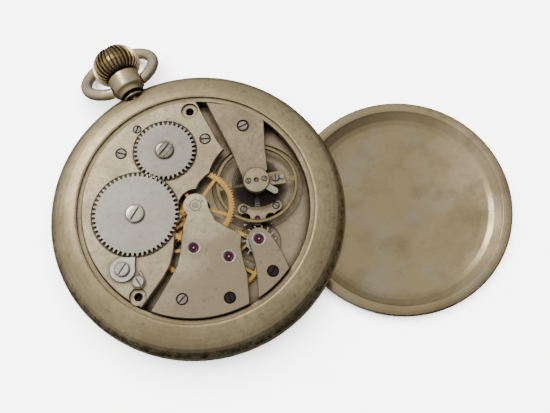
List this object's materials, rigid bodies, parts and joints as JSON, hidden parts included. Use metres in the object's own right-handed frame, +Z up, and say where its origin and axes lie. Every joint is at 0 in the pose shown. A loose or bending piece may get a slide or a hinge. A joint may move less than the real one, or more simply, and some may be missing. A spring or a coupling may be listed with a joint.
{
  "type": "mechanical stopwatch",
  "caption": "Crown-wound open-face pocket timekeeper lying on its crystal with the snap back cover off, showing winding wheels, jewelled going train and balance.",
  "frame": {"origin": "centre of the crystal's flat face, on the watch axis, in the plane it rests on", "axes": "+Z up out of the back of the movement, +Y towards the crown, +X to the right seen from the back"},
  "size_m": [0.079, 0.0746, 0.0136],
  "materials": {
    "case_nickel": "worn brushed nickel silver",
    "crown_nickel": "tarnished nickel silver",
    "plate_nickel": "fine-grained nickel",
    "steel": "polished steel",
    "wheel_steel": "snailed steel",
    "gilt_brass": "gilt brass",
    "balance_metal": "polished balance alloy",
    "blued_steel": "blued",
    "ruby": "polished ruby",
    "dial_enamel": "gloss enamel",
    "crystal_glass": "clear"
  },
  "bodies": {
    "case": {"case_middle": "case_nickel", "bezel": "case_nickel", "crystal": "crystal_glass", "pendant": "case_nickel", "main_plate": "plate_nickel", "barrel_bridge": "plate_nickel", "train_bridge": "plate_nickel", "escape_cock": "plate_nickel", "balance_cock": "plate_nickel", "pallet_bridge": "plate_nickel", "dial": "dial_enamel", "crown_wheel_screw": "steel", "click_spring": "steel", "click_screws": "steel", "hairspring": "blued_steel", "hairspring_stud": "steel", "balance_end_cap": "steel", "cap_screws": "steel", "stud_screw": "steel", "jewel_settings": "steel", "train_jewels": "ruby", "pallet_jewel": "ruby", "bridge_screws": "steel", "dark_screws": "blued_steel", "pallet_screws": "steel", "case_screws": "blued_steel", "screw_sleeves": "steel"},
    "back_cover": {"back_cover": "case_nickel"},
    "bow": {"bow": "case_nickel"},
    "ratchet": {"ratchet_wheel": "wheel_steel", "ratchet_screw": "steel", "barrel_arbor": "steel"},
    "crown_wheel": {"crown_wheel": "wheel_steel"},
    "stem": {"winding_stem": "steel", "winding_pinion": "steel"},
    "crown": {"crown": "crown_nickel", "crown_stem": "steel"},
    "click": {"click": "wheel_steel"},
    "fourth": {"fourth_wheel": "gilt_brass", "fourth_arbor": "steel", "seconds_hand": "blued_steel"},
    "barrel": {"barrel_drum": "gilt_brass", "mainspring": "blued_steel"},
    "center": {"center_wheel": "gilt_brass", "center_arbor": "steel", "cannon_pinion": "steel", "minute_hand": "blued_steel"},
    "third": {"third_wheel": "gilt_brass", "third_arbor": "steel"},
    "escape": {"escape_wheel": "steel", "escape_arbor": "steel"},
    "minute_wheel": {"minute_wheel": "gilt_brass"},
    "hour": {"hour_wheel": "gilt_brass", "hour_hand": "blued_steel"},
    "pallet": {"pallet_fork": "steel", "pallet_stones": "ruby"},
    "balance": {"balance_wheel": "balance_metal", "balance_staff": "steel", "impulse_pin": "ruby"},
    "regulator": {"regulator": "steel"}
  },
  "joints": [
    {"name": "cover_slide", "type": "slide", "parent": "case", "child": "back_cover", "axis": [0.9036, -0.4283, 0], "range_m": [0, 0.04]},
    {"name": "bow_swing", "type": "hinge", "parent": "case", "child": "bow", "pos_m": [0, 0.0272, 0.0092], "axis": [1, 0, 0], "range_deg": [-18, 130]},
    {"name": "ratchet_turn", "type": "hinge", "parent": "case", "child": "ratchet", "pos_m": [-0.0097, 0.0036, 0.01145], "axis": [0, 0, 1], "continuous": true},
    {"name": "crown_wheel_turn", "type": "hinge", "parent": "case", "child": "crown_wheel", "pos_m": [0, 0.0115, 0.01145], "axis": [0, 0, 1], "continuous": true},
    {"name": "stem_turn", "type": "hinge", "parent": "case", "child": "stem", "pos_m": [0, 0.02, 0.0092], "axis": [0, 1, 0], "continuous": true},
    {"name": "crown_pull", "type": "slide", "parent": "stem", "child": "crown", "axis": [0, 1, 0], "range_m": [0, 0.0012]},
    {"name": "click_lift", "type": "hinge", "parent": "case", "child": "click", "pos_m": [-0.0159, -0.0041, 0.0116], "axis": [0, 0, 1], "range_deg": [-12, 0]},
    {"name": "fourth_turn", "type": "hinge", "parent": "case", "child": "fourth", "pos_m": [0.0007, -0.0108, 0.0092], "axis": [0, 0, 1], "continuous": true},
    {"name": "barrel_turn", "type": "hinge", "parent": "case", "child": "barrel", "pos_m": [-0.0097, 0.0036, 0.0084], "axis": [0, 0, 1], "continuous": true},
    {"name": "center_turn", "type": "hinge", "parent": "case", "child": "center", "pos_m": [0, 0, 0.0092], "axis": [0, 0, 1], "continuous": true},
    {"name": "third_turn", "type": "hinge", "parent": "case", "child": "third", "pos_m": [-0.00375, -0.0065, 0.0099], "axis": [0, 0, 1], "continuous": true},
    {"name": "escape_turn", "type": "hinge", "parent": "case", "child": "escape", "pos_m": [0.0066, -0.0106, 0.0093], "axis": [0, 0, 1], "continuous": true},
    {"name": "minute_wheel_turn", "type": "hinge", "parent": "case", "child": "minute_wheel", "pos_m": [0, 0.0036, 0.0066], "axis": [0, 0, 1], "continuous": true},
    {"name": "hour_turn", "type": "hinge", "parent": "case", "child": "hour", "pos_m": [0, 0, 0.0059], "axis": [0, 0, 1], "continuous": true},
    {"name": "pallet_rock", "type": "hinge", "parent": "case", "child": "pallet", "pos_m": [0.0083, -0.0069, 0.0093], "axis": [0, 0, 1], "range_deg": [-5, 5]},
    {"name": "balance_swing", "type": "hinge", "parent": "case", "child": "balance", "pos_m": [0.0112, -0.0015, 0.0103], "axis": [0, 0, 1], "range_deg": [-270, 270]},
    {"name": "regulator_turn", "type": "hinge", "parent": "case", "child": "regulator", "pos_m": [0.0112, -0.0015, 0.012], "axis": [0, 0, 1], "range_deg": [-20, 15]}
  ],
  "couplings": [
    {"joint": "crown_wheel_turn", "follows": "ratchet_turn", "ratio": -1.3846},
    {"joint": "stem_turn", "follows": "ratchet_turn", "ratio": 3},
    {"joint": "barrel_turn", "follows": "fourth_turn", "ratio": -0.0037037},
    {"joint": "center_turn", "follows": "fourth_turn", "ratio": 0.016667},
    {"joint": "third_turn", "follows": "fourth_turn", "ratio": -0.13333},
    {"joint": "escape_turn", "follows": "fourth_turn", "ratio": -10},
    {"joint": "minute_wheel_turn", "follows": "fourth_turn", "ratio": -0.0055556},
    {"joint": "hour_turn", "follows": "fourth_turn", "ratio": 0.0013889}
  ]
}
